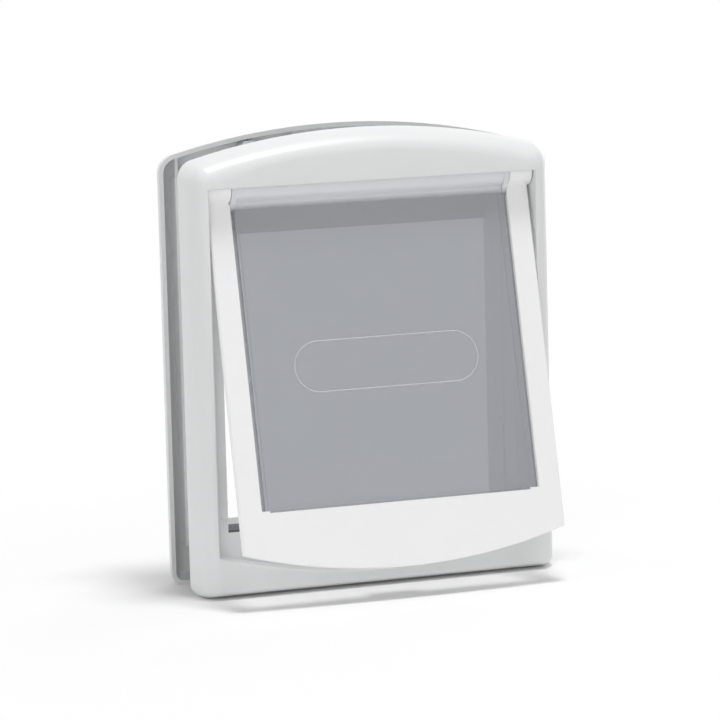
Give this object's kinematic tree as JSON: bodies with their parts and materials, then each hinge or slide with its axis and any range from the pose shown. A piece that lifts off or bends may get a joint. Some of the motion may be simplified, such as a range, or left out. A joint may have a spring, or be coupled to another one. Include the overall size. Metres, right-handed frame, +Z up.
{
  "type": "cat flap",
  "caption": "Through-door cat flap: rolled front and rear fascias joined by a sleeve, with a swinging surround and a clear inner flap on one hinge line.",
  "frame": {"origin": "middle of the bounding box in plan, at the level the object stands on", "axes": "+X to the viewer's right when facing the front fascia, +Y through the door to the rear fascia, +Z up"},
  "size_m": [0.198, 0.1, 0.236],
  "materials": {
    "fascia_plastic": "white moulded plastic, satin gloss",
    "surround_plastic": "bright white moulded plastic, satin gloss",
    "clear_plastic": "clear plastic with a faint cool tint, polished",
    "pile_backing": "dark grey backing strip",
    "pile_fibre": "dark grey woven pile",
    "magnet_black": "dark sintered magnet, matt",
    "magnet_cover": "white moulded cover",
    "pin_steel": "drawn steel rod",
    "screw_steel": "bright zinc-plated steel",
    "cap_plastic": "white moulded cap"
  },
  "bodies": {
    "frame": {"front_frame": "fascia_plastic", "rear_frame": "fascia_plastic", "sill_pile_base": "pile_backing", "sill_pile": "pile_fibre", "sill_magnet_housing": "magnet_cover", "sill_magnet": "magnet_black", "hinge_pin_left": "pin_steel", "hinge_pin_right": "pin_steel", "fixing_screw_top_left": "screw_steel", "screw_cap_top_left": "cap_plastic", "fixing_screw_top_right": "screw_steel", "screw_cap_top_right": "cap_plastic", "fixing_screw_bottom_left": "screw_steel", "screw_cap_bottom_left": "cap_plastic", "fixing_screw_bottom_right": "screw_steel", "screw_cap_bottom_right": "cap_plastic"},
    "surround": {"surround": "surround_plastic"},
    "flap": {"clear_flap": "clear_plastic", "flap_magnet_holder": "magnet_cover", "flap_magnet": "magnet_black"}
  },
  "joints": [
    {"name": "surround_swing", "type": "hinge", "parent": "frame", "child": "surround", "pos_m": [0, -0.0014, 0.21], "axis": [-1, 0, 0], "range_deg": [-13.8, 48]},
    {"name": "flap_swing", "type": "hinge", "parent": "surround", "child": "flap", "pos_m": [0, -0.0014, 0.21], "axis": [1, 0, 0], "range_deg": [0, 46]}
  ]
}
